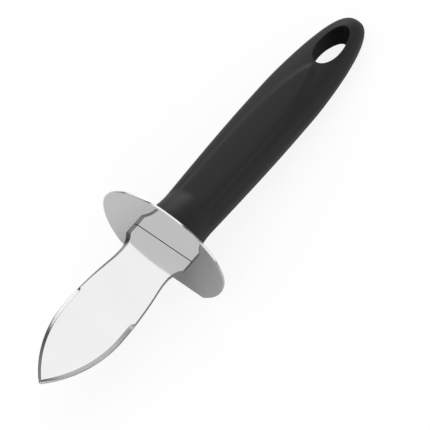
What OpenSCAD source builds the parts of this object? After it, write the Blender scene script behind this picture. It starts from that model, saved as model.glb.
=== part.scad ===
// Oyster knife: a stout leaf-shaped steel blade, a polished steel hand guard and a moulded
// plastic handle with a hanging hole. Millimetres.
//
// The knife is drawn along its own axis first: n runs from the guard towards the tip, w runs
// across the blade and b is square to the blade's flat. The guard's front face is n = 0.
// Then it is laid down as it rests on a table, on the foot of its guard and the end of its
// handle, with the table at z = 0 and the tip towards +X.

/* [Blade] */
// Length of the blade from the guard to the tip
blade_l = 65; // [55:1:80]
// Width of the square shoulders that seat on the guard
shoulder_w = 24; // [22:0.5:28]
// Width of the waist behind the shoulders
waist_w = 19.4; // [16:0.2:21]
// Width of the blade at its widest
belly_w = 23.6; // [22:0.2:27]
// Distance of the waist from the guard
waist_at = 10; // [8.5:0.5:14]
// Distance of the widest place from the guard
belly_at = 37; // [30:1:45]
// Radius of the hollow between the shoulder and the waist
shoulder_hollow_r = 8.4; // [7:0.2:10]
// Radius of the hollow from the waist towards the belly
waist_hollow_r = 34; // [20:1:60]
// Radius that rounds the shoulder's corner
shoulder_corner_r = 1.2; // [0.6:0.1:1.6]
// Radius that blunts the tip
tip_r = 0.8; // [0.4:0.1:1.5]
// Thickness of the blade at the guard
blade_t = 2.4; // [1.8:0.1:3]
// Thickness of the blade just behind the tip
tip_t = 1.5; // [1:0.1:1.8]

/* [Edges of the blade] */
// Distance from the guard at which the ground edges start
grind_at = 29.5; // [25:0.5:40]
// Length over which the grinding wheel ran in
grind_run = 2.4; // [1.5:0.1:5]
// Width of a ground edge, seen from above
grind_w = 1.7; // [1:0.1:2.5]
// Thickness left at a ground edge
edge_t = 0.3; // [0.2:0.05:0.6]
// How hollow the wheel leaves a ground edge: 1 is a flat slope
grind_hollow = 1.25; // [1:0.05:1.5]
// Width of the rounding on the edges that aren't ground, at the guard
round_w = 1.2; // [0.8:0.1:1.5]
// Width of that rounding where the ground edges start
round_end_w = 0.4; // [0.3:0.1:0.8]

/* [Tang] */
// Width of the tang
tang_w = 12; // [8:0.5:16]
// Thickness of the tang
tang_t = 2.2; // [1.6:0.1:2.2]
// Length of the tang behind the guard's front face
tang_l = 76; // [50:1:80]
// Gap round the tang in the guard and in the handle
tang_clear = 0.1; // [0.05:0.05:0.3]
// Gap between the parts that seat on each other
seat_clear = 0.05; // [0.02:0.01:0.1]

/* [Guard] */
// Width of the guard
guard_w = 50; // [46:1:60]
// Height of the guard above the axis
guard_top = 20.9; // [20:0.1:22.5]
// Depth of the guard's flat foot below the axis
guard_foot = 18.1; // [15:0.1:21]
// Thickness of the guard
guard_t = 1; // [0.8:0.1:2]
// Rounding of the guard's rim
guard_ease = 0.3; // [0.1:0.05:0.35]

/* [Handle] */
// Length of the handle
handle_l = 108.6; // [105:0.2:130]
// Width of the handle at its thinnest, behind the collar
neck_w = 19.2; // [17:0.2:21]
// Distance of that place from the front of the handle
neck_at = 13; // [11:0.5:16]
// Width of the handle at its widest
grip_w = 21.4; // [20:0.2:26]
// Distance of the widest place from the front of the handle
grip_at = 60; // [50:1:70]
// Length of the rounding that closes the handle's outline at its end
butt_l = 40; // [34:1:50]
// Thickness of the handle at the neck, without the pads
grip_t = 14.6; // [12:0.2:18]
// Thickness of the handle at its end
butt_t = 13; // [11:0.2:14.4]
// Length of the rounding of the end's thickness
butt_round_l = 12; // [8:0.5:14]
// How square the handle's section is: 2 is an ellipse
grip_square = 2.5; // [2:0.1:4]
// Radius of the round collar where it meets the guard
collar_r = 11.9; // [11:0.1:14]
// Length of the collar along the top of the handle
collar_l = 16; // [12:0.5:20]

/* [Pads on the handle's two faces] */
// Height of a pad
pad_h = 0.8; // [0.4:0.1:1.5]
// Half of the width of a pad
pad_half_w = 6.9; // [5:0.1:8]
// Distance from the front at which a pad starts to narrow
pad_at = 49; // [40:1:60]
// Length over which a pad narrows to its round end
pad_taper_l = 34.5; // [20:0.5:35]
// Width of a pad's sloping border
pad_slope = 2.6; // [1:0.1:4]

/* [Hanging hole] */
// Length of the hole
hole_l = 18; // [12:0.5:20]
// Width of the hole
hole_w = 8.2; // [6:0.2:10]
// Distance of the hole's middle from the end of the handle
hole_from_end = 16; // [13:0.5:22]
// How much the hole narrows towards the end of the handle
hole_taper = 0.12; // [0:0.01:0.2]
// Rounding of the hole's mouths
mouth_r = 0.3; // [0.2:0.1:1]

/* [Hidden] */

steel = [0.86, 0.87, 0.88];
black_plastic = [0.13, 0.13, 0.14];

// A step from 0 to 1 with soft ends
function soft_step(x) = let (c = max(0, min(1, x))) c * c * (3 - 2 * c);
// Straight blend from p to q
function blend(p, q, x) = p + (q - p) * x;
// The larger of two values, with a fillet of size r where they cross
function soft_max(p, q, r) = let (c = max(0, 1 - abs(p - q) / r)) max(p, q) + c * c * r / 4;
// Values from start to stop in a number of equal steps
function steps(start, stop, count) = [for (i = [0 : count]) start + (stop - start) * i / count];

// Closed solid through rings with equal numbers of points, capped at both ends
module loft(rings) {
    sides = len(rings[0]);
    last = len(rings) - 1;
    points = [for (ring = rings) each ring];
    walls = [for (i = [0 : last - 1], j = [0 : sides - 1])
        let (k = (j + 1) % sides, a = i * sides, c = (i + 1) * sides)
        each [[a + j, c + k, a + k], [a + j, c + j, c + k]]];
    caps = [[for (j = [0 : sides - 1]) j], [for (j = [sides - 1 : -1 : 0]) last * sides + j]];
    polyhedron(points = points, faces = concat(walls, caps), convexity = 6);
}

// Blade: half of its outline, as arcs that run into each other
shoulder_half = shoulder_w / 2;
waist_half = waist_w / 2;
belly_half = belly_w / 2;
hollow_centre = waist_half + shoulder_hollow_r;
corner_centre = shoulder_half - shoulder_corner_r;
corner_reach = shoulder_hollow_r + shoulder_corner_r;
corner_at = waist_at - sqrt(pow(corner_reach, 2) - pow(hollow_centre - corner_centre, 2));
corner_end = blend(corner_at, waist_at, shoulder_corner_r / corner_reach);
waist_rise = belly_half - waist_half;
waist_run = belly_at - waist_at;
waist_radii = (pow(waist_run, 2) + pow(waist_rise, 2)) / (2 * waist_rise);
belly_back_r = waist_radii - waist_hollow_r;
waist_end = blend(waist_at, belly_at, waist_hollow_r / waist_radii);

// The two edges would meet in a corner, which the tip's radius blunts
function belly_r(run) = (run * run + belly_half * belly_half) / (2 * belly_half);
tip_run = blade_l - belly_at;
point_run = tip_run + tip_r * (sqrt(2) - 1);
belly_front_r = belly_r(point_run);
front_centre = belly_half - belly_front_r;
tip_centre = blade_l - tip_r;
function front_half(n) = front_centre + sqrt(max(0, pow(belly_front_r, 2) - pow(n - belly_at, 2)));

// The tip's own limit: a half circle, opening out steeply behind it so that only the arcs bind there
tip_splay = 4;
function tip_half(n) = let (past = n - tip_centre)
    past < 0 ? tip_r - past * tip_splay : sqrt(max(0, tip_r * tip_r - past * past));

function half_width(n) =
    n < corner_at ? shoulder_half
    : n < corner_end ? corner_centre + sqrt(pow(shoulder_corner_r, 2) - pow(n - corner_at, 2))
    : n < waist_at ? hollow_centre - sqrt(pow(shoulder_hollow_r, 2) - pow(waist_at - n, 2))
    : n < waist_end ? waist_half + waist_hollow_r - sqrt(pow(waist_hollow_r, 2) - pow(n - waist_at, 2))
    : n < belly_at ? belly_half - belly_back_r + sqrt(pow(belly_back_r, 2) - pow(belly_at - n, 2))
    : min(front_half(n), tip_half(n));

// Distance of a point of the flat from the edge, square to the edge
function to_edge(n, w) = n > belly_at
    ? belly_front_r - sqrt(pow(n - belly_at, 2) + pow(w - front_centre, 2))
    : (half_width(n) - w) * cos(atan((half_width(n + 0.05) - half_width(n)) / 0.05));
// Half of the width that stays flat when a band along the edge is taken away
function flat_half(n, band) = max(0, n > belly_at
    ? front_centre + sqrt(max(0, pow(belly_front_r - band, 2) - pow(n - belly_at, 2)))
    : half_width(n) - band);

// Half of the thickness at a point: a tapered flat whose edges are round, and ground further out.
// The rounding narrows along the blade, and leaves a share of the thickness standing at the very
// edge. The wheel runs in along an arc, and cuts a hollow that reaches further in the deeper it is.
function taper(n) = blend(blade_t, tip_t, max(0, n) / blade_l) / 2;
function ground(n) = let (c = 1 - max(0, min(1, (n - grind_at) / grind_run))) sqrt(1 - c * c);
function rounding(n) = blend(round_w, round_end_w, max(0, min(1, n / grind_at)));
edge_share = 0.25;
function round_part(n, d) = let (c = 1 - min(1, max(0, d) / rounding(n))) blend(edge_share, 1, sqrt(1 - c * c));
function ground_part(n, d) = let (c = min(1, max(0, d) / grind_w + 1 - ground(n)))
    blend(edge_t / 2, taper(n), pow(c, grind_hollow));
function half_thick(n, d) = min(taper(n) * round_part(n, d), ground_part(n, d));

edge_band = [1, 0.72, 0.46, 0.26, 0.1, 0];
function blade_ring(n) = let (
    half = max(0.02, half_width(n)),
    band = max(rounding(n), grind_w * ground(n)),
    inner = min(flat_half(n, band), half - 0.01),
    ws = concat([0], [for (k = edge_band) blend(half, inner, k)]),
    top = [for (w = ws) [w, half_thick(n, w >= half ? 0 : to_edge(n, w))]],
    count = len(top)
) concat(
    [for (i = [count - 1 : -1 : 0]) [n, top[i][0], top[i][1]]],
    [for (i = [1 : count - 1]) [n, -top[i][0], top[i][1]]],
    [for (i = [count - 1 : -1 : 0]) [n, -top[i][0], -top[i][1]]],
    [for (i = [1 : count - 1]) [n, top[i][0], -top[i][1]]]
);
corner_turn = asin((corner_end - corner_at) / shoulder_corner_r);
point_from = tip_centre - 2;
tip_flat = 0.02;
blade_stations = concat(
    [0],
    [for (i = [0 : 3]) corner_at + shoulder_corner_r * sin(corner_turn * i / 4)],
    steps(corner_end, waist_at, 5),
    [for (i = [1 : 4]) blend(waist_at, waist_end, i / 4)],
    [for (i = [1 : 4]) blend(waist_end, grind_at, i / 4)],
    [for (i = [1 : 6]) grind_at + grind_run * i / 6],
    [for (i = [1 : 14]) blend(grind_at + grind_run, point_from, i / 14)],
    [for (a = [15 : 15 : 75]) blend(point_from, blade_l, sin(a))],
    [blade_l - tip_flat]
);

// Blade and tang, stamped in one piece
module blade() {
    color(steel) as_it_lies() {
        loft([for (n = blade_stations) blade_ring(n)]);
        translate([-tang_l, -tang_w / 2, -tang_t / 2]) cube([tang_l + shoulder_corner_r, tang_w, tang_t]);
    }
}

// Guard: an ellipse above and a circle below, cut straight for a foot
guard_half = guard_w / 2;
function oval(half, height, turns) = [for (a = turns) [half * cos(a), height * sin(a)]];
function guard_outline(inset) = let (
    half = guard_half - inset,
    foot_turn = asin((guard_foot - inset) / half),
    right = concat(
        oval(half, half, steps(-foot_turn, 0, 13)),
        oval(half, guard_top - inset, steps(4, 90, 24))
    ),
    count = len(right)
) concat(right, [for (i = [count - 2 : -1 : 0]) [-right[i][0], right[i][1]]]);
function guard_ring(turn, back) = let (
    inset = guard_ease * (1 - cos(turn)),
    depth = guard_ease * (1 - sin(turn)),
    n = back ? depth - guard_t + seat_clear : -depth - seat_clear
) [for (p = guard_outline(inset)) [n, p[0], p[1]]];

module guard() {
    color(steel) as_it_lies() difference() {
        loft(concat(
            [for (a = [90 : -22.5 : 0]) guard_ring(a, true)],
            [for (a = [0 : 22.5 : 90]) guard_ring(a, false)]
        ));
        tang_slot(-guard_t - 1, 1);
    }
}

// Room for the tang between two places on the axis
module tang_slot(from, to) {
    width = tang_w + 2 * tang_clear;
    height = tang_t + 2 * tang_clear;
    translate([from, -width / 2, -height / 2]) cube([to - from, width, height]);
}

// Handle: places are measured from its front, s, which seats on the guard
handle_front = guard_t;
butt_at = handle_l - butt_l;
function fore_half(s) = s < neck_at
    ? neck_w / 2 + (collar_r - neck_w / 2) * pow(1 - s / neck_at, 2)
    : blend(neck_w, grip_w, sin(90 * min(1, (s - neck_at) / (grip_at - neck_at)))) / 2;

// Closing of the outline at the end: higher powers keep it full for longer and blunter at the last
butt_full = 1.6;
butt_blunt = 2.65;
butt_round_at = handle_l - butt_round_l;
hole_mid = handle_l - hole_from_end;
function close_in(s) = s < butt_at ? 1 : pow(1 - pow((s - butt_at) / butt_l, butt_full), 1 / butt_blunt);
function side_half(s) = fore_half(s) * close_in(s);
function face_half(s) = blend(grip_t, butt_t, soft_step((s - neck_at) / (hole_mid - neck_at))) / 2
    * sqrt(1 - pow(max(0, s - butt_round_at) / butt_round_l, 2));

// The collar is round at the guard and sinks below the faces of the grip behind it
collar_drop = collar_r - grip_t / 2 - pad_h;
collar_fillet = 0.5;
collar_gone = collar_l * 1.6;
function collar_half(s) = collar_r - collar_drop * pow(s / collar_l, 2);

function section(u, half, square) = half * pow(max(0, 1 - pow(abs(u), square)), 1 / square);

// Height of a pad over a place, from that place's distance inside the pad's outline
function pad(s, w) = let (
    along = max(0, s - pad_at) / pad_taper_l,
    inside = 1 - pow(w / pad_half_w, 2) - along * along,
    slope = 2 * norm([w / pow(pad_half_w, 2), along / pad_taper_l])
) pad_h * soft_step(inside / max(slope, 0.001) / pad_slope);

function face(s, u) = let (
    w = u * side_half(s),
    grip = section(u, face_half(s), grip_square) + pad(s, w),
    collar = s < collar_gone ? section(u, max(1, collar_half(s)), 2) : 0
) abs(u) > 0.999 ? 0 : soft_max(grip, collar, collar_fillet);

face_points = 34;
function handle_ring(s) = let (
    top = [for (i = [0 : face_points]) let (u = cos(180 * i / face_points)) [u * side_half(s), face(s, u)]]
) concat(
    [for (p = top) [-handle_front - s, p[0], p[1]]],
    [for (i = [face_points - 1 : -1 : 1]) [-handle_front - s, top[i][0], -top[i][1]]]
);
hole_near = hole_mid - hole_l;
end_flat = 0.05;
handle_stations = concat(
    steps(0, collar_gone, 24),
    [for (i = [1 : 8]) blend(collar_gone, hole_near, i / 8)],
    [for (i = [1 : 13]) blend(hole_near, butt_round_at, i / 13)],
    [for (a = [10 : 10 : 80]) butt_round_at + butt_round_l * sin(a)],
    [handle_l - end_flat]
);

// The hole's outline narrows towards the end of the handle
function hole_outline(grow) = [for (a = [0 : 8 : 359]) let (
    across = (hole_w / 2) * sin(a) * (1 + hole_taper * cos(a))
) [-handle_front - hole_mid + (hole_l / 2 + grow) * cos(a), across + grow * sin(a)]];

// Half of the cutter, from above the face down through the rounded mouth: [height, growth]
mouth_at = face(hole_mid, hole_w / 2 / side_half(hole_mid));
cutter_over = 2;
hole_rings = concat(
    [[mouth_at + cutter_over, mouth_r + cutter_over]],
    [for (a = [90 : -22.5 : 0]) [mouth_at - mouth_r * (1 - sin(a)), mouth_r * (1 - cos(a))]]
);
module hanging_hole() {
    lower = [for (i = [0 : len(hole_rings) - 1]) [-hole_rings[i][0], hole_rings[i][1]]];
    upper = [for (i = [len(hole_rings) - 1 : -1 : 0]) hole_rings[i]];
    loft([for (r = concat(lower, upper)) [for (p = hole_outline(r[1])) [p[0], p[1], r[0]]]]);
}

module handle() {
    color(black_plastic) as_it_lies() difference() {
        loft([for (i = [len(handle_stations) - 1 : -1 : 0]) handle_ring(handle_stations[i])]);
        hanging_hole();
        tang_slot(-tang_l - tang_clear, 1);
    }
}

// Resting on the table: the lean at which the guard's foot and the end of the handle both touch
butt_centre = handle_front + butt_round_at;
foot_back = guard_t - seat_clear - guard_ease;
function foot_reach(a) = foot_back * sin(a) + (guard_foot - guard_ease) * cos(a) + guard_ease;
function end_reach(a) = norm([butt_round_l * sin(a), butt_t / 2 * cos(a)]);
function solve_lean(a, tries) = tries == 0 ? a
    : solve_lean(asin((foot_reach(a) - end_reach(a)) / butt_centre), tries - 1);
lean = solve_lean(6, 12);
axis_z = foot_reach(lean);
front_x = blade_l * cos(lean);
back_x = -butt_centre * cos(lean) - norm([butt_round_l * cos(lean), butt_t / 2 * sin(lean)]);
axis_x = -(front_x + back_x) / 2;

module as_it_lies() {
    translate([axis_x, 0, axis_z]) rotate([0, -lean, 0]) children();
}

blade();
guard();
handle();
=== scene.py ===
"""Oyster knife: polished steel blade and guard, satin black handle, with floor, light and camera.

Sizes are millimetres along the knife's own axes: n runs from the guard's front face towards the
tip, w across the blade and b square to its flat. place() lays them down as the knife rests.
"""
import collections
import math

import bmesh
import bpy
from mathutils import Matrix, Vector


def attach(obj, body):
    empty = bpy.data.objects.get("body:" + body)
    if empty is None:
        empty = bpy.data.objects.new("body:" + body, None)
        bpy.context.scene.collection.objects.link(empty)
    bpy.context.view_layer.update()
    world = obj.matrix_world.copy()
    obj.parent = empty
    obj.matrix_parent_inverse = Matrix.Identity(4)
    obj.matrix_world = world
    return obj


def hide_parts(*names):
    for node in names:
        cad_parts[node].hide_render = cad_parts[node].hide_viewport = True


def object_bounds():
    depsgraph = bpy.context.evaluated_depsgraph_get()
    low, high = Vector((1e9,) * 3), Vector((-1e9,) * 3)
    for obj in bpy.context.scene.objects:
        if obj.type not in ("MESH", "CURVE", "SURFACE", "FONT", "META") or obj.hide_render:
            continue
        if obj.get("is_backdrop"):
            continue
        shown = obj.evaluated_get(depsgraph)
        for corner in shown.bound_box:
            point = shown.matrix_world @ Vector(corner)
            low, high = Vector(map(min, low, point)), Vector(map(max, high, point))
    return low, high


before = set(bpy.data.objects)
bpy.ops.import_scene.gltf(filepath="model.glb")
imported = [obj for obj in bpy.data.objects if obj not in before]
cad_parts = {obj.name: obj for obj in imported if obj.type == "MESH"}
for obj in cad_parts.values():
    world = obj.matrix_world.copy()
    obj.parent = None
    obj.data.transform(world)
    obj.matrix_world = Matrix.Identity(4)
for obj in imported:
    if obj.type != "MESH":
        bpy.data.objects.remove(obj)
cad_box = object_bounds()

# Blade
BLADE_L = 65.0
SHOULDER_HALF = 12.0
WAIST_HALF = 9.7
BELLY_HALF = 11.8
WAIST_AT = 10.0
BELLY_AT = 37.0
SHOULDER_HOLLOW_R = 8.4
WAIST_HOLLOW_R = 34.0
SHOULDER_CORNER_R = 1.2
TIP_R = 0.8
BLADE_T = 2.4
TIP_T = 1.5

# Edges of the blade
GRIND_AT = 29.5
GRIND_RUN = 2.4
GRIND_TIP_FROM = 44.0
GRIND_SOFT = 0.1
EDGE_T = 0.56
GRIND_HOLLOW = 1.25
ROUND_CURVE = 1.1
ROOT_W = 0.1
EDGE_SHARE = 0.2
CORNER_SHARE = 0.6

# Widths of each edge: the rounding at its two ends, and the ground edge at its start and at the tip
Edge = collections.namedtuple("Edge", "round_w round_end_w grind_w grind_tip_w")
LEFT = Edge(1.7, 0.7, 1.4, 0.85)
RIGHT = Edge(0.25, 0.25, 1.35, 1.2)

# Tang and the gaps round it
TANG_W = 12.0
TANG_T = 2.2
TANG_L = 76.0
TANG_CLEAR = 0.1
SEAT_CLEAR = 0.05

# Guard
GUARD_HALF = 25.0
GUARD_TOP = 20.9
GUARD_FOOT = 18.1
GUARD_T = 1.0
GUARD_EASE = 0.3

# Handle
HANDLE_L = 108.6
NECK_HALF = 9.6
NECK_AT = 13.0
GRIP_HALF = 10.7
GRIP_AT = 60.0
BUTT_L = 40.0
BUTT_FULL = 1.6
BUTT_BLUNT = 2.65
GRIP_T = 14.6
BUTT_T = 13.0
BUTT_ROUND_L = 12.0
GRIP_SQUARE = 2.5
BUTT_SQUARE = 2.15
COLLAR_R = 11.9
COLLAR_L = 16.0
COLLAR_END = COLLAR_L * 1.6
COLLAR_FILLET = 0.5

# Pads on the handle's faces
PAD_H = 0.8
PAD_HALF_W = 6.9
PAD_AT = 49.0
PAD_TAPER_L = 34.5
PAD_SLOPE = 2.6
PAD_END_SLOPE = 5.0

# Hanging hole
HOLE_L = 18.0
HOLE_W = 8.2
HOLE_FROM_END = 16.0
HOLE_TAPER = 0.12
MOUTH_R = 0.3
HOLE_MID = HANDLE_L - HOLE_FROM_END

MM = 1000.0
TURN = 2 * math.pi


def clamp(x):
    """The share x, held between 0 and 1."""
    return max(0.0, min(1.0, x))


def soft_step(x):
    """A step from 0 to 1 with soft ends."""
    c = clamp(x)
    return c * c * (3 - 2 * c)


def mix(p, q, x):
    """Straight blend from p to q."""
    return p + (q - p) * x


def soft_max(p, q, r):
    """The larger of two values, with a fillet of size r where they cross."""
    c = max(0.0, 1 - abs(p - q) / r)
    return max(p, q) + c * c * r / 4


def steps(start, stop, count):
    """Values from start up to stop, without stop, in equal steps."""
    return [mix(start, stop, i / count) for i in range(count)]


def quarter_turn(count):
    """Angles from 0 to a quarter turn, with both ends, in equal steps."""
    return [i * math.pi / (2 * count) for i in range(count + 1)]


def foot_reach(a):
    """How far the guard's foot reaches below the axis at a lean of a."""
    back = GUARD_T - SEAT_CLEAR - GUARD_EASE
    return back * math.sin(a) + (GUARD_FOOT - GUARD_EASE) * math.cos(a) + GUARD_EASE


def find_lean():
    """The lean at which the guard's foot and the end of the handle both touch the table."""
    butt_centre = GUARD_T + HANDLE_L - BUTT_ROUND_L
    a = 0.1
    for _ in range(12):
        end_reach = math.hypot(BUTT_ROUND_L * math.sin(a), BUTT_T / 2 * math.cos(a))
        a = math.asin((foot_reach(a) - end_reach) / butt_centre)
    front = BLADE_L * math.cos(a)
    back = -butt_centre * math.cos(a) - math.hypot(BUTT_ROUND_L * math.cos(a), BUTT_T / 2 * math.sin(a))
    return a, -(front + back) / 2


LEAN, AXIS_X = find_lean()
AXIS_Z = foot_reach(LEAN)


def place(n, w, b):
    """A point of the knife's own axes as it lies on the table, in metres."""
    return Vector((
        (AXIS_X + n * math.cos(LEAN) - b * math.sin(LEAN)) / MM,
        w / MM,
        (AXIS_Z + n * math.sin(LEAN) + b * math.cos(LEAN)) / MM,
    ))


class Shell:
    """One closed mesh, made of rings of points that are bridged and capped."""

    def __init__(self, name):
        self.name = name
        self.points = []
        self.grain = []
        self.faces = []
        self.slots = []

    def ring(self, points, grain=None):
        """Adds points (n, w, b) and returns their numbers. grain is (along, across) for the finish."""
        first = len(self.points)
        self.points += points
        self.grain += grain if grain else [(p[0], p[1]) for p in points]
        return list(range(first, len(self.points)))

    def face(self, corners, slot=0):
        self.faces.append(corners)
        self.slots.append(slot)

    def bridge(self, a, b, slot=0):
        for i in range(len(a)):
            j = (i + 1) % len(a)
            self.face([a[i], a[j], b[j], b[i]], slot)

    def build(self, materials, crease):
        """Makes the object. Edges sharper than crease degrees stay sharp."""
        mesh = bpy.data.meshes.new(self.name)
        mesh.from_pydata([place(*p) for p in self.points], [], self.faces)
        for m in materials:
            mesh.materials.append(m)
        for polygon, slot in zip(mesh.polygons, self.slots):
            polygon.material_index = slot
            polygon.use_smooth = True
        grain = mesh.attributes.new("grain", "FLOAT_VECTOR", "POINT")
        for item, (along, across) in zip(grain.data, self.grain):
            item.vector = (along / MM, across / MM, 0)
        whole = bmesh.new()
        whole.from_mesh(mesh)
        bmesh.ops.recalc_face_normals(whole, faces=whole.faces)
        whole.to_mesh(mesh)
        whole.free()
        mesh.set_sharp_from_angle(angle=math.radians(crease))
        piece = bpy.data.objects.new(self.name, mesh)
        bpy.context.collection.objects.link(piece)
        return piece


def slot_ring(shell, ring, n):
    """The tang's slot at n, with one point for each point of a ring round it."""
    half_w = TANG_W / 2 + TANG_CLEAR
    half_b = TANG_T / 2 + TANG_CLEAR
    angles = [math.atan2(shell.points[i][2], shell.points[i][1]) for i in ring]
    points = []
    for a in angles:
        c, s = math.cos(a), math.sin(a)
        reach = min(half_w / max(abs(c), 1e-6), half_b / max(abs(s), 1e-6))
        points.append((n, reach * c, reach * s))
    for w, b in ((half_w, half_b), (-half_w, half_b), (-half_w, -half_b), (half_w, -half_b)):
        corner = math.atan2(b, w)
        nearest = min(range(len(angles)), key=lambda i: abs(math.remainder(angles[i] - corner, TURN)))
        points[nearest] = (n, w, b)
    return shell.ring(points)


# Blade outline: arcs that run into each other
HOLLOW_CENTRE = WAIST_HALF + SHOULDER_HOLLOW_R
CORNER_CENTRE = SHOULDER_HALF - SHOULDER_CORNER_R
CORNER_REACH = SHOULDER_HOLLOW_R + SHOULDER_CORNER_R
CORNER_AT = WAIST_AT - math.sqrt(CORNER_REACH ** 2 - (HOLLOW_CENTRE - CORNER_CENTRE) ** 2)
CORNER_END = mix(CORNER_AT, WAIST_AT, SHOULDER_CORNER_R / CORNER_REACH)
WAIST_RISE = BELLY_HALF - WAIST_HALF
WAIST_RUN = BELLY_AT - WAIST_AT
WAIST_RADII = (WAIST_RUN ** 2 + WAIST_RISE ** 2) / (2 * WAIST_RISE)
BELLY_BACK_R = WAIST_RADII - WAIST_HOLLOW_R
WAIST_END = mix(WAIST_AT, BELLY_AT, WAIST_HOLLOW_R / WAIST_RADII)
POINT_RUN = BLADE_L - BELLY_AT + TIP_R * (math.sqrt(2) - 1)
BELLY_FRONT_R = (POINT_RUN ** 2 + BELLY_HALF ** 2) / (2 * BELLY_HALF)
FRONT_CENTRE = BELLY_HALF - BELLY_FRONT_R
TIP_CENTRE = BLADE_L - TIP_R
TIP_SPLAY = 4


def rise(r, run):
    """Height of a circle of radius r over its middle line, at a distance run from its centre."""
    return math.sqrt(max(0.0, r * r - run * run))


def half_width(n):
    """Half of the blade's width."""
    if n < CORNER_AT:
        return SHOULDER_HALF
    if n < CORNER_END:
        return CORNER_CENTRE + rise(SHOULDER_CORNER_R, n - CORNER_AT)
    if n < WAIST_AT:
        return HOLLOW_CENTRE - rise(SHOULDER_HOLLOW_R, WAIST_AT - n)
    if n < WAIST_END:
        return WAIST_HALF + WAIST_HOLLOW_R - rise(WAIST_HOLLOW_R, n - WAIST_AT)
    if n < BELLY_AT:
        return BELLY_HALF - BELLY_BACK_R + rise(BELLY_BACK_R, BELLY_AT - n)
    past = n - TIP_CENTRE
    tip = TIP_R - past * TIP_SPLAY if past < 0 else rise(TIP_R, past)
    return min(FRONT_CENTRE + rise(BELLY_FRONT_R, n - BELLY_AT), tip)


# The outline up to past the belly, as points to measure from, and how far along it the nearest is sought
OUTLINE_STEP = 0.1
OUTLINE_SPARE = 4
OUTLINE_COUNT = int((BELLY_AT + OUTLINE_SPARE) / OUTLINE_STEP)
OUTLINE = [(i * OUTLINE_STEP, half_width(i * OUTLINE_STEP)) for i in range(OUTLINE_COUNT)]
SEARCH_RUN = 3
BISECTIONS = 16


def to_line(n, w, a, b):
    """Distance of a point from the line between two points."""
    run, climb = b[0] - a[0], b[1] - a[1]
    share = clamp(((n - a[0]) * run + (w - a[1]) * climb) / (run * run + climb * climb))
    return math.hypot(n - a[0] - share * run, w - a[1] - share * climb)


def to_edge(n, w):
    """Distance of a point of the flat from the blade's edge, square to the edge."""
    if n > BELLY_AT:
        return BELLY_FRONT_R - math.hypot(n - BELLY_AT, w - FRONT_CENTRE)
    first = max(0, int((n - SEARCH_RUN) / OUTLINE_STEP))
    near = OUTLINE[first:int((n + SEARCH_RUN) / OUTLINE_STEP) + 2]
    return min(to_line(n, w, a, b) for a, b in zip(near, near[1:]))


def flat_half(n, band):
    """Half of the width that is left when a band along the edge is taken away."""
    if n > BELLY_AT:
        return max(0.0, FRONT_CENTRE + rise(BELLY_FRONT_R - band, n - BELLY_AT))
    low, high = 0.0, half_width(n)
    for _ in range(BISECTIONS):
        half = (low + high) / 2
        low, high = (half, high) if to_edge(n, half) > band else (low, half)
    return low


def ground(n):
    """How far the grinding wheel has run in, from 0 to 1."""
    c = 1 - clamp((n - GRIND_AT) / GRIND_RUN)
    return math.sqrt(1 - c * c)


def taper(n):
    """Half of the thickness of the blade's flat."""
    return mix(BLADE_T, TIP_T, max(0.0, n) / BLADE_L) / 2


def grind_width(edge, n):
    """Width of the ground edge, which narrows towards the tip."""
    past = max(0.0, (n - GRIND_TIP_FROM) / (BLADE_L - GRIND_TIP_FROM))
    return mix(edge.grind_w, edge.grind_tip_w, past)


def ground_thick(edge, n, d):
    """Half of the thickness that the wheel leaves at a distance d from the edge, in a slight hollow."""
    c = d / grind_width(edge, n) + 1 - ground(n)
    return -soft_max(-mix(EDGE_T / 2, taper(n), c ** GRIND_HOLLOW), -taper(n), GRIND_SOFT)


def rounding(edge, n):
    """Width of the rounding on an edge, up to where the ground edge starts."""
    return mix(edge.round_w, edge.round_end_w, clamp(n / GRIND_AT))


def round_thick(edge, n, d):
    """Half of the thickness of the rounded edge that isn't ground. The rounding is nearly straight."""
    c = 1 - min(1.0, max(0.0, d) / rounding(edge, n))
    return taper(n) * mix(EDGE_SHARE, 1, (1 - c ** ROUND_CURVE) ** (1 / ROUND_CURVE))


def half_thick(edge, n, d):
    return min(round_thick(edge, n, d), ground_thick(edge, n, d))


def to_rim(edge, n, w):
    """Distance from the rounded rim, which goes on round the corners and along the blade's root."""
    root = n * rounding(edge, n) / ROOT_W
    return max(0.0, -soft_max(-to_edge(n, w), -root, rounding(edge, n) * CORNER_SHARE))


# How finely the blade is divided, across and then along
FLAT_PARTS = 8
BAND_PARTS = 26
BAND_SPARE = 0.25
LEAST_HALF = 0.02
LEAST_BAND = 0.01
ROOT_END = ROOT_W * 1.5
ROOT_PARTS = 14
ROOT_CROWD = 1.5
SHOULDER_PARTS = 4
CORNER_PARTS = 8
HOLLOW_PARTS = 24
WAIST_PARTS = 36
RUN_IN_PARTS = 24
GROUND_PARTS = 56
TIP_FROM = TIP_CENTRE - 3
TIP_PARTS = 24
LAST_AT = BLADE_L - 0.01


def blade_half(edge, n):
    """Upper half of the blade's section from its middle to an edge: (w, b, distance from the edge)."""
    half = max(LEAST_HALF, half_width(n))
    band = max(rounding(edge, n), grind_width(edge, n) * ground(n)) + BAND_SPARE
    inner = min(flat_half(n, band), half - LEAST_BAND)
    ws = [inner * i / FLAT_PARTS for i in range(FLAT_PARTS)]
    ws += [mix(inner, half, (1 - math.cos(math.pi * i / BAND_PARTS)) / 2) for i in range(BAND_PARTS + 1)]
    ds = [to_rim(edge, n, w) for w in ws[:-1]] + [0.0]
    return [(w, half_thick(edge, n, d), d) for w, d in zip(ws, ds)]


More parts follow.
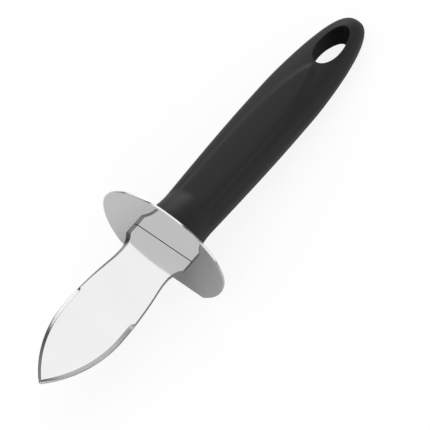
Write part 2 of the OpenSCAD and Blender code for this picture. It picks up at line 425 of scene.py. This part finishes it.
def blade_stations():
    """Places along the blade, closer together where its outline or its edge turns."""
    corner_turn = math.asin((CORNER_END - CORNER_AT) / SHOULDER_CORNER_R)
    corner_turns = [corner_turn * i / CORNER_PARTS for i in range(CORNER_PARTS)]
    places = [ROOT_END * (i / ROOT_PARTS) ** ROOT_CROWD for i in range(ROOT_PARTS)]
    places += steps(ROOT_END, CORNER_AT, SHOULDER_PARTS)
    places += [CORNER_AT + SHOULDER_CORNER_R * math.sin(a) for a in corner_turns]
    places += steps(CORNER_END, WAIST_AT, HOLLOW_PARTS)
    places += steps(WAIST_AT, GRIND_AT, WAIST_PARTS)
    places += steps(GRIND_AT, GRIND_AT + GRIND_RUN, RUN_IN_PARTS)
    places += steps(GRIND_AT + GRIND_RUN, TIP_FROM, GROUND_PARTS)
    places += [mix(TIP_FROM, BLADE_L, math.sin(a)) for a in quarter_turn(TIP_PARTS)[:-1]]
    return places + [LAST_AT]


def around(right, left):
    """A whole section from its upper halves: over the top from +w to -w and back underneath."""
    over = [(w, b, d) for w, b, d in reversed(right)] + [(-w, b, d) for w, b, d in left[1:]]
    return over + [(w, -b, d) for w, b, d in reversed(over)]


# Share of the rounding whose faces get the rim steel with painted shade
SHADED_RIM_SHARE = 0.95
TANG_END_RUN = 1
BLADE_CREASE = 14
FLAT, GROUND, SHADED_RIM = range(3)


def make_blade(flat_steel, ground_steel, rim_steel_with_painted_shade):
    """Blade and tang, in one piece. The ground edges carry their own finish, and the rounded rim a
    rougher steel whose dark colour is painted shade.
    """
    shell = Shell("blade_leaf")
    stations = blade_stations()
    sections = [around(blade_half(RIGHT, n), blade_half(LEFT, n)) for n in stations]

    tang = []
    narrow = TANG_W / 2 / SHOULDER_HALF
    for n in (-TANG_L, -TANG_L + TANG_END_RUN, -GUARD_T, 0.0):
        tang.append(shell.ring([(n, w * narrow, min(b, TANG_T / 2)) for w, b, _ in sections[0]]))
    shell.face(tang[0])
    for a, b in zip(tang, tang[1:]):
        shell.bridge(a, b)

    along = 0.0
    before = None
    rings = []
    for n, points in zip(stations, sections):
        rim = (n, points[0][0])
        along += math.dist(before, rim) if before else 0.0
        before = rim
        rings.append(shell.ring([(n, w, b) for w, b, _ in points], [(along, d) for _, _, d in points]))
    shell.bridge(tang[-1], rings[0])
    for i in range(len(rings) - 1):
        n = (stations[i] + stations[i + 1]) / 2
        for j in range(len(rings[i])):
            k = (j + 1) % len(rings[i])
            d = (shell.grain[rings[i][j]][1] + shell.grain[rings[i + 1][k]][1]) / 2
            edge = RIGHT if sections[i][j][0] + sections[i][k][0] > 0 else LEFT
            wheel_w = grind_width(edge, n) * ground(n)
            cut = n > GRIND_AT and d < wheel_w and ground_thick(edge, n, d) <= round_thick(edge, n, d)
            # The rounded rim, and the blade's root against the guard, get the rim steel with painted
            # shade
            shaded_rim = not cut and d < rounding(edge, n) * SHADED_RIM_SHARE
            slot = GROUND if cut else SHADED_RIM if shaded_rim else FLAT
            shell.face([rings[i][j], rings[i][k], rings[i + 1][k], rings[i + 1][j]], slot)
    shell.face(rings[-1], GROUND)
    return shell.build([flat_steel, ground_steel, rim_steel_with_painted_shade], BLADE_CREASE)


# How finely the guard is divided: its foot from beside the middle, its outline and its eased rim
FOOT_FROM = 0.5
FOOT_PARTS = 12
LOWER_PARTS = 28
UPPER_PARTS = 60
EASE_PARTS = 8
EASE_MARGINS = (1.0, 0.04)
GUARD_CREASE = 32


def guard_outline(inset):
    """The guard's outline: an ellipse above, a circle below, cut straight for the foot."""
    half, top, foot = GUARD_HALF - inset, GUARD_TOP - inset, GUARD_FOOT - inset
    foot_turn = math.asin(foot / half)
    right = [(w, -foot) for w in steps(FOOT_FROM, half * math.cos(foot_turn), FOOT_PARTS)]
    right += [(half * math.cos(a), half * math.sin(a)) for a in steps(-foot_turn, 0, LOWER_PARTS)]
    right += [(half * math.cos(a), top * math.sin(a)) for a in steps(0, math.pi / 2, UPPER_PARTS)]
    return right + [(0.0, top)] + [(-w, b) for w, b in reversed(right)]


def make_guard(steel):
    """Guard plate with a rounded rim and the slot for the tang."""
    shell = Shell("guard_plate")
    front, back = -SEAT_CLEAR, SEAT_CLEAR - GUARD_T

    def ring(n, inset):
        return shell.ring([(n, w, b) for w, b in guard_outline(inset)])

    rim = [ring(front, GUARD_EASE + margin) for margin in EASE_MARGINS]
    for a in quarter_turn(EASE_PARTS):
        rim.append(ring(front - GUARD_EASE * (1 - math.cos(a)), GUARD_EASE * (1 - math.sin(a))))
    for a in quarter_turn(EASE_PARTS):
        rim.append(ring(back + GUARD_EASE * (1 - math.sin(a)), GUARD_EASE * (1 - math.cos(a))))
    rim += [ring(back, GUARD_EASE + margin) for margin in reversed(EASE_MARGINS)]
    for a, b in zip(rim, rim[1:]):
        shell.bridge(a, b)
    front_slot = slot_ring(shell, rim[0], front)
    back_slot = slot_ring(shell, rim[-1], back)
    shell.bridge(front_slot, rim[0])
    shell.bridge(rim[-1], back_slot)
    shell.bridge(back_slot, front_slot)
    return shell.build([steel], GUARD_CREASE)


def side_half(s):
    """Half of the handle's width at a distance s from its front."""
    if s < NECK_AT:
        half = NECK_HALF + (COLLAR_R - NECK_HALF) * (1 - s / NECK_AT) ** 2
    else:
        widened = min(1.0, (s - NECK_AT) / (GRIP_AT - NECK_AT))
        half = mix(NECK_HALF, GRIP_HALF, math.sin(math.pi / 2 * widened))
    past = max(0.0, s - (HANDLE_L - BUTT_L)) / BUTT_L
    return half * (1 - min(1.0, past) ** BUTT_FULL) ** (1 / BUTT_BLUNT)


def face_half(s):
    """Half of the handle's thickness in its middle, without collar and pads."""
    half = mix(GRIP_T, BUTT_T, soft_step((s - NECK_AT) / (HOLE_MID - NECK_AT))) / 2
    past = max(0.0, s - HANDLE_L + BUTT_ROUND_L) / BUTT_ROUND_L
    return half * math.sqrt(max(0.0, 1 - past * past))


def section(u, half, square):
    """Height of a rounded section at a share u of its width."""
    return half * max(0.0, 1 - abs(u) ** square) ** (1 / square)


def squareness(s):
    """How square the section is: the handle gets rounder towards its end."""
    return mix(GRIP_SQUARE, BUTT_SQUARE, soft_step((s - PAD_AT) / PAD_TAPER_L))


def pad(s, w):
    """Height of a pad, from the distance inside the pad's outline."""
    along = max(0.0, s - PAD_AT) / PAD_TAPER_L
    inside = 1 - (w / PAD_HALF_W) ** 2 - along * along
    slope = 2 * math.hypot(w / PAD_HALF_W ** 2, along / PAD_TAPER_L)
    run = mix(PAD_SLOPE, PAD_END_SLOPE, min(1.0, along))
    return PAD_H * soft_step(inside / max(slope, 0.001) / run)


def face_height(s, w):
    """Height of the handle's upper face over its middle plane."""
    u = w / max(side_half(s), 1e-6)
    if abs(u) > 0.9999:
        return 0.0
    grip = section(u, face_half(s), squareness(s)) + pad(s, w)
    drop = COLLAR_R - GRIP_T / 2 - PAD_H
    collar_half = COLLAR_R - drop * (s / COLLAR_L) ** 2
    collar = section(u, max(1.0, collar_half), 2) if s < COLLAR_END else 0.0
    return soft_max(grip, collar, COLLAR_FILLET)


def hole_outline(turn, grow):
    """A point of the hanging hole's outline, as (s, w). The hole narrows towards the handle's end."""
    across = HOLE_W / 2 * math.sin(turn) * (1 + HOLE_TAPER * -math.cos(turn))
    return HOLE_MID + (HOLE_L / 2 + grow) * math.cos(turn), across + grow * math.sin(turn)


# How finely the handle is divided, round and then along
HALF_TURN_PARTS = 88
COLLAR_PARTS = 70
GRIP_FROM = 22
GRIP_PARTS = 50
HOLE_PART_FROM = 76
HOLE_PARTS = 46
BUTT_PARTS = 30
HANDLE_CREASE = 40

# The patch round each mouth of the hanging hole, then the mouth's rounding and the hole's wall
PATCH_SHARE = 0.72
PATCH_MARGIN = 2.0
PATCH_RINGS = 10
PATCH_CROWD = 1.3
MOUTH_PARTS = 6
WALL_PARTS = 12


def handle_stations():
    """Places along the handle, closer together at the collar, the hole and the end."""
    places = steps(0, GRIP_FROM, COLLAR_PARTS)
    places += steps(GRIP_FROM, HOLE_PART_FROM, GRIP_PARTS)
    places += steps(HOLE_PART_FROM, HANDLE_L - BUTT_ROUND_L, HOLE_PARTS)
    return places + [HANDLE_L - BUTT_ROUND_L * (1 - math.sin(a)) for a in quarter_turn(BUTT_PARTS)[:-1]]


def make_handle(plastic, bore_plastic_with_painted_shade):
    """Moulded handle: a loft with a patch round each mouth of the hanging hole, and the tang's socket.
    The hole's wall has a darker copy of the plastic as painted shade.
    """
    shell = Shell("handle_grip")
    stations = handle_stations()
    rings = []
    for s in stations:
        over = []
        for j in range(HALF_TURN_PARTS + 1):
            w = side_half(s) * math.cos(math.pi * j / HALF_TURN_PARTS)
            over.append((-GUARD_T - s, w, face_height(s, w)))
        under = [(n, w, -b) for n, w, b in reversed(over[1:-1])]
        rings.append(shell.ring(over + under))
    count = len(rings[0])

    reach = HOLE_L / 2 + MOUTH_R + PATCH_MARGIN
    first = next(i for i, s in enumerate(stations) if s > HOLE_MID - reach)
    last = max(i for i, s in enumerate(stations) if s < HOLE_MID + reach)
    left = math.ceil(math.acos(PATCH_SHARE) / math.pi * HALF_TURN_PARTS)
    right = HALF_TURN_PARTS - left
    for i in range(len(rings) - 1):
        for j in range(count):
            mirrored = j if j < HALF_TURN_PARTS else count - 1 - j
            if first <= i < last and left <= mirrored < right:
                continue
            k = (j + 1) % count
            shell.face([rings[i][j], rings[i][k], rings[i + 1][k], rings[i + 1][j]])
    shell.face(rings[-1])

    # The patch's border on the upper face, and the same border underneath
    border = [(first, j) for j in range(left, right)] + [(i, right) for i in range(first, last)]
    border += [(last, j) for j in range(right, left, -1)] + [(i, left) for i in range(last, first, -1)]
    upper = [rings[i][j] for i, j in border]
    lower = [rings[i][(count - j) % count] for i, j in border]
    turns = []
    for number in upper:
        n, w, _ = shell.points[number]
        turns.append(math.atan2(w / (HOLE_W / 2), (-GUARD_T - n - HOLE_MID) / (HOLE_L / 2)))

    down = []
    for part in range(1, PATCH_RINGS + 1):
        share = 1 - (1 - part / PATCH_RINGS) ** PATCH_CROWD
        points = []
        for number, turn in zip(upper, turns):
            n, w, _ = shell.points[number]
            to_s, to_w = hole_outline(turn, MOUTH_R)
            s, w = mix(-GUARD_T - n, to_s, share), mix(w, to_w, share)
            points.append((-GUARD_T - s, w, face_height(s, w)))
        down.append(points)
    edge = down[-1]
    for part in range(1, MOUTH_PARTS + 1):
        a = part * math.pi / 2 / MOUTH_PARTS
        points = []
        for (_, _, b), turn in zip(edge, turns):
            s, w = hole_outline(turn, MOUTH_R * (1 - math.sin(a)))
            points.append((-GUARD_T - s, w, b - MOUTH_R * (1 - math.cos(a))))
        down.append(points)
    wall = down[-1]
    for part in range(1, WALL_PARTS // 2 + 1):
        down.append([(n, w, b * (1 - 2 * part / WALL_PARTS)) for n, w, b in wall])
    halfway = down.pop()
    loops = [upper] + [shell.ring(points) for points in down] + [shell.ring(halfway)]
    loops += [shell.ring([(n, w, -b) for n, w, b in points]) for points in reversed(down)] + [lower]
    # Between the two mouths the hole's wall gets the darker plastic: painted shade inside the hole
    shaded_bore_from = PATCH_RINGS + MOUTH_PARTS - 2
    for i, (a, b) in enumerate(zip(loops, loops[1:])):
        shell.bridge(a, b, int(shaded_bore_from <= i < len(loops) - 1 - shaded_bore_from))

    # The socket that holds the tang
    mouth = slot_ring(shell, rings[0], -GUARD_T)
    floor = shell.ring([(-TANG_L - TANG_CLEAR, *shell.points[i][1:]) for i in mouth])
    shell.bridge(rings[0], mouth)
    shell.bridge(mouth, floor)
    shell.face(floor)
    return shell.build([plastic, bore_plastic_with_painted_shade], HANDLE_CREASE)


class Nodes:
    """A node tree under construction."""

    def __init__(self, tree):
        self.tree = tree

    def feed(self, socket, value):
        """Links an input to another node's output, or sets its value."""
        if isinstance(value, bpy.types.NodeSocket):
            self.tree.links.new(value, socket)
        else:
            socket.default_value = value

    def node(self, kind, inputs=None, **settings):
        made = self.tree.nodes.new(kind)
        for name, value in settings.items():
            setattr(made, name, value)
        for name, value in (inputs or {}).items():
            self.feed(made.inputs[name], value)
        return made


class Look(Nodes):
    """A node material under construction."""

    def __init__(self, name):
        self.material = bpy.data.materials.new(name)
        self.material.use_nodes = True
        super().__init__(self.material.node_tree)
        self.shader = self.tree.nodes["Principled BSDF"]

    def set(self, **sockets):
        """Sets or links the shader's sockets, whose names are written with underscores."""
        for name, value in sockets.items():
            self.feed(self.shader.inputs[name.replace("_", " ")], value)

    def stretched_noise(self, source, stretch, scale, detail=3.0):
        """Noise over a coordinate, stretched by a factor for each axis."""
        mapped = self.node("ShaderNodeMapping", {"Vector": source, "Scale": stretch})
        return self.node("ShaderNodeTexNoise", {
            "Vector": mapped.outputs["Vector"], "Scale": scale, "Detail": detail,
        }).outputs["Fac"]

    def between(self, factor, low, high):
        """A number from low to high."""
        return self.node("ShaderNodeMapRange", {
            "Value": factor, "To Min": low, "To Max": high,
        }).outputs["Result"]

    def shade(self, factor, dark, light):
        """A colour from dark to light."""
        return self.node("ShaderNodeMix", {
            0: factor, 6: (*dark, 1), 7: (*light, 1),
        }, data_type="RGBA").outputs[2]

    def bump(self, height, distance, strength):
        return self.node("ShaderNodeBump", {
            "Height": height, "Distance": distance, "Strength": strength,
        }).outputs["Normal"]


def polished_steel():
    """Stamped and polished stainless steel, with very fine lines along the blade."""
    look = Look("polished_steel")
    place_of = look.node("ShaderNodeTexCoord").outputs["Object"]
    lines = look.stretched_noise(place_of, (30, 900, 900), 1.0)
    clouds = look.stretched_noise(place_of, (60, 60, 60), 1.0)
    look.set(
        Metallic=1.0,
        Base_Color=look.shade(clouds, (0.55, 0.55, 0.555), (0.59, 0.59, 0.595)),
        Roughness=look.between(clouds, 0.05, 0.09),
        Normal=look.bump(lines, 0.00001, 0.05),
    )
    return look.material


def ground_steel():
    """Edge left by the grinding wheel, with fine marks across it."""
    look = Look("ground_steel")
    grain = look.node("ShaderNodeAttribute", attribute_name="grain").outputs["Vector"]
    marks = look.stretched_noise(grain, (1500, 90, 1), 1.0, detail=5.0)
    patches = look.stretched_noise(grain, (260, 90, 1), 1.0)
    look.set(
        Metallic=1.0,
        Base_Color=look.shade(marks, (0.44, 0.44, 0.445), (0.70, 0.70, 0.705)),
        Roughness=look.between(patches, 0.10, 0.18),
        Normal=look.bump(marks, 0.00004, 0.3),
    )
    return look.material


def painted_shade_rim_steel():
    """Rim of the stamped blade, rounded and rougher than the polished flats. Its dark colour is painted
    shade, darkest at the very rim, for the dark line along the rim and the seam at the guard.
    """
    look = Look("painted_shade_rim_steel")
    grain = look.node("ShaderNodeAttribute", attribute_name="grain").outputs["Vector"]
    patches = look.stretched_noise(grain, (500, 900, 1), 1.0, detail=4.0)
    across = look.node("ShaderNodeSeparateXYZ", {0: grain}).outputs["Y"]
    # Painted shade: the colour is darker towards the very rim
    inside = look.node("ShaderNodeMapRange", {"Value": across, "From Min": 0.00005, "From Max": 0.0006})
    look.set(
        Metallic=1.0,
        Base_Color=look.shade(inside.outputs["Result"], (0.25, 0.25, 0.252), (0.29, 0.29, 0.293)),
        Roughness=look.between(patches, 0.15, 0.25),
        Normal=look.bump(patches, 0.00002, 0.2),
    )
    return look.material


def black_plastic(name, base, shine, roughness):
    """Black moulded plastic with a fine, even grain."""
    look = Look(name)
    place_of = look.node("ShaderNodeTexCoord").outputs["Object"]
    fine = look.stretched_noise(place_of, (1, 1, 1), 2400.0, detail=2.0)
    clouds = look.stretched_noise(place_of, (1, 1, 1), 90.0)
    look.set(
        Base_Color=look.shade(clouds, (base * 0.9,) * 3, (base * 1.1,) * 3),
        Roughness=look.between(clouds, roughness - 0.03, roughness + 0.03),
        Specular_IOR_Level=shine,
        Normal=look.bump(fine, 0.00003, 0.25),
    )
    return look.material


# Camera: where it stands and what it looks at, in the knife's own axes
CAMERA_AT = (462.8, 336.2, 1037.2)
CAMERA_AIM = (-19.33, 7.0, 0.0)
CAMERA_ROLL = -6.1
PHOTO_WIDTH = 430
FOCAL_PIXELS = 3600
SENSOR = 36.0


def make_camera():
    data = bpy.data.cameras.new("camera")
    data.sensor_fit = "HORIZONTAL"
    data.sensor_width = SENSOR
    data.lens = SENSOR * FOCAL_PIXELS / PHOTO_WIDTH
    data.clip_end = 50
    camera = bpy.data.objects.new("camera", data)
    eye, aim = place(*CAMERA_AT), place(*CAMERA_AIM)
    level = (aim - eye).to_track_quat("-Z", "Y").to_matrix().to_4x4()
    roll = Matrix.Rotation(math.radians(CAMERA_ROLL), 4, "Z")
    camera.matrix_world = Matrix.Translation(eye) @ level @ roll
    bpy.context.collection.objects.link(camera)
    bpy.context.scene.camera = camera


# Floor, in metres: its whiteness by the knife, its painted shade far from it, and the painted shadow
# under the blade
FLOOR_SIZE = 12.0
FLOOR_GLOW = 0.86
FLOOR_NEAR = 0.06
FLOOR_FAR = 0.22
FLOOR_WHITE = 0.88
FLOOR_FAR_SHADE_WHITE = 0.5
FLOOR_SHADOW_WHITE = 0.68
FLOOR_SHADOW_AT = (0.03, 0.02, 0.0)
FLOOR_SHADOW_R = 0.045


def make_floor():
    """White floor, with painted shade far from the knife and a painted shadow under the blade, which show
    in the steel.

    The camera sees it partly as plain white, so that its shadows are light.
    """
    bpy.ops.mesh.primitive_plane_add(size=FLOOR_SIZE)
    floor = bpy.context.object
    floor.name = "floor"
    look = Look("white_floor")
    seen = look.node("ShaderNodeLightPath").outputs["Is Camera Ray"]
    spot = look.node("ShaderNodeTexCoord").outputs["Object"]
    # Painted shade: the floor's colour dims far from the knife
    away = look.node("ShaderNodeVectorMath", {0: spot}, operation="LENGTH").outputs["Value"]
    far = look.node("ShaderNodeMapRange", {"Value": away, "From Min": FLOOR_NEAR, "From Max": FLOOR_FAR})
    # Painted shadow: a dimmer patch of floor colour under the blade
    past = look.node("ShaderNodeVectorMath", {0: spot, 1: FLOOR_SHADOW_AT}, operation="DISTANCE")
    near = look.node("ShaderNodeMapRange", {
        "Value": past.outputs["Value"], "From Max": FLOOR_SHADOW_R,
        "To Min": FLOOR_SHADOW_WHITE, "To Max": FLOOR_WHITE,
    })
    lit = look.node("ShaderNodeMix", {
        0: far.outputs["Result"], 2: near.outputs["Result"], 3: FLOOR_FAR_SHADE_WHITE,
    }).outputs[0]
    colour = look.node("ShaderNodeMix", {0: seen, 6: lit, 7: (1, 1, 1, 1)}, data_type="RGBA").outputs[2]
    look.set(Base_Color=colour, Roughness=1.0, Specular_IOR_Level=0.0)
    white = look.node("ShaderNodeEmission", {"Color": (1, 1, 1, 1), "Strength": 1.0})
    share = look.node("ShaderNodeMath", {0: seen, 1: FLOOR_GLOW}, operation="MULTIPLY")
    both = look.node("ShaderNodeMixShader", {
        0: share.outputs[0], 1: look.shader.outputs[0], 2: white.outputs[0],
    })
    output = look.tree.nodes["Material Output"]
    look.tree.links.new(both.outputs[0], output.inputs["Surface"])
    floor.data.materials.append(look.material)
    floor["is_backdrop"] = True


# The studio: a long panel overhead, in shares of its height, and soft round lights round the table
DARK = 0.05
PANEL = 1.52
PANEL_X = (-1.3, 1.3)
PANEL_Y = (-0.86, 0.2)
PANEL_EDGE = 0.08
SOFT_LIGHTS = {
    "wall on the left": {"turn": 233, "rise": 12, "half": 22, "edge": 2, "strength": 1.6},
    "behind on the left": {"turn": 215, "rise": 8, "half": 18, "edge": 5, "strength": 4.2},
    "far left": {"turn": 282, "rise": 30, "half": 18, "edge": 8, "strength": 0.35},
    "behind on the right": {"turn": 156, "rise": 6, "half": 27, "edge": 6, "strength": 0.7},
    "ahead on the left": {"turn": 326, "rise": 14, "half": 30, "edge": 7, "strength": 0.8},
    "low on the left": {"turn": 294, "rise": 14, "half": 11, "edge": 4, "strength": 1.2},
    "on the right": {"turn": 108, "rise": 54, "half": 20, "edge": 6, "strength": 0.8},
    "low on the right": {"turn": 110, "rise": 17, "half": 22, "edge": 5, "strength": 1.8},
    "in front": {"turn": 21, "rise": 26, "half": 34, "edge": 15, "strength": 1.3},
}


class Sky(Nodes):
    """The world's light, built up as a strength for each direction."""

    def __init__(self):
        world = bpy.data.worlds.new("studio")
        world.use_nodes = True
        bpy.context.scene.world = world
        super().__init__(world.node_tree)
        self.direction = self.node("ShaderNodeTexCoord").outputs["Generated"]
        self.strength = DARK

    def maths(self, operation, a, b=0.0):
        return self.node("ShaderNodeMath", {0: a, 1: b}, operation=operation).outputs[0]

    def rising(self, value, at, edge):
        """A soft step from 0 to 1 where a value passes a place."""
        return self.node("ShaderNodeMapRange", {
            "Value": value, "From Min": at - edge, "From Max": at + edge,
        }, interpolation_type="SMOOTHSTEP").outputs["Result"]

    def cover(self, share, strength):
        """Lays a light of a strength over what is there."""
        self.strength = self.node("ShaderNodeMix", {0: share, 2: self.strength, 3: strength}).outputs[0]

    def panel(self):
        x, y, z = self.node("ShaderNodeSeparateXYZ", {0: self.direction}).outputs
        height = self.maths("MAXIMUM", z, 0.001)
        share = 1.0
        for way, (start, stop) in ((x, PANEL_X), (y, PANEL_Y)):
            place = self.maths("DIVIDE", way, height)
            share = self.maths("MULTIPLY", share, self.rising(place, start, PANEL_EDGE))
            ended = self.rising(place, stop, PANEL_EDGE)
            share = self.maths("MULTIPLY", share, self.maths("SUBTRACT", 1.0, ended))
        self.cover(share, PANEL)

    def soft_light(self, turn, rise, half, edge, strength):
        """A round light: turn and rise give its direction, half its angle from middle to edge."""
        t, r = math.radians(turn), math.radians(rise)
        centre = (math.cos(t) * math.cos(r), math.sin(t) * math.cos(r), math.sin(r))
        along = self.node("ShaderNodeVectorMath", {0: self.direction, 1: centre}, operation="DOT_PRODUCT")
        away = self.maths("ARCCOSINE", along.outputs["Value"])
        past = self.rising(away, math.radians(half), math.radians(edge))
        self.cover(self.maths("SUBTRACT", 1.0, past), strength)

    def finish(self):
        """Makes the sky plain white where the camera sees it."""
        seen = self.node("ShaderNodeLightPath").outputs["Is Camera Ray"]
        self.cover(seen, 1.0)
        background = self.tree.nodes["Background"]
        self.tree.links.new(self.strength, background.inputs["Strength"])
        background.inputs["Color"].default_value = (1, 1, 1, 1)


def make_world():
    sky = Sky()
    sky.panel()
    for light in SOFT_LIGHTS.values():
        sky.soft_light(**light)
    sky.finish()


def finish_piece(piece, node):
    """Rides on the knife's one body and stands for the CAD node."""
    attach(piece, "root")
    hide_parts(node)


steel = polished_steel()
grip = black_plastic("satin_black_plastic", 0.018, 0.14, 0.45)
# A darker, duller copy of the black plastic for the hole's wall, as painted shade
shaded_bore_plastic = black_plastic("bore_plastic_painted_shade", 0.01, 0.08, 0.5)
finish_piece(make_blade(steel, ground_steel(), painted_shade_rim_steel()), "blade")
finish_piece(make_guard(steel), "guard")
finish_piece(make_handle(grip, shaded_bore_plastic), "handle")
bpy.context.scene.view_settings.view_transform = "Standard"
make_camera()
make_floor()
make_world()

boxes = {"cad": cad_box, "visual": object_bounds()}
{name: [list(corner) for corner in box] for name, box in boxes.items()}
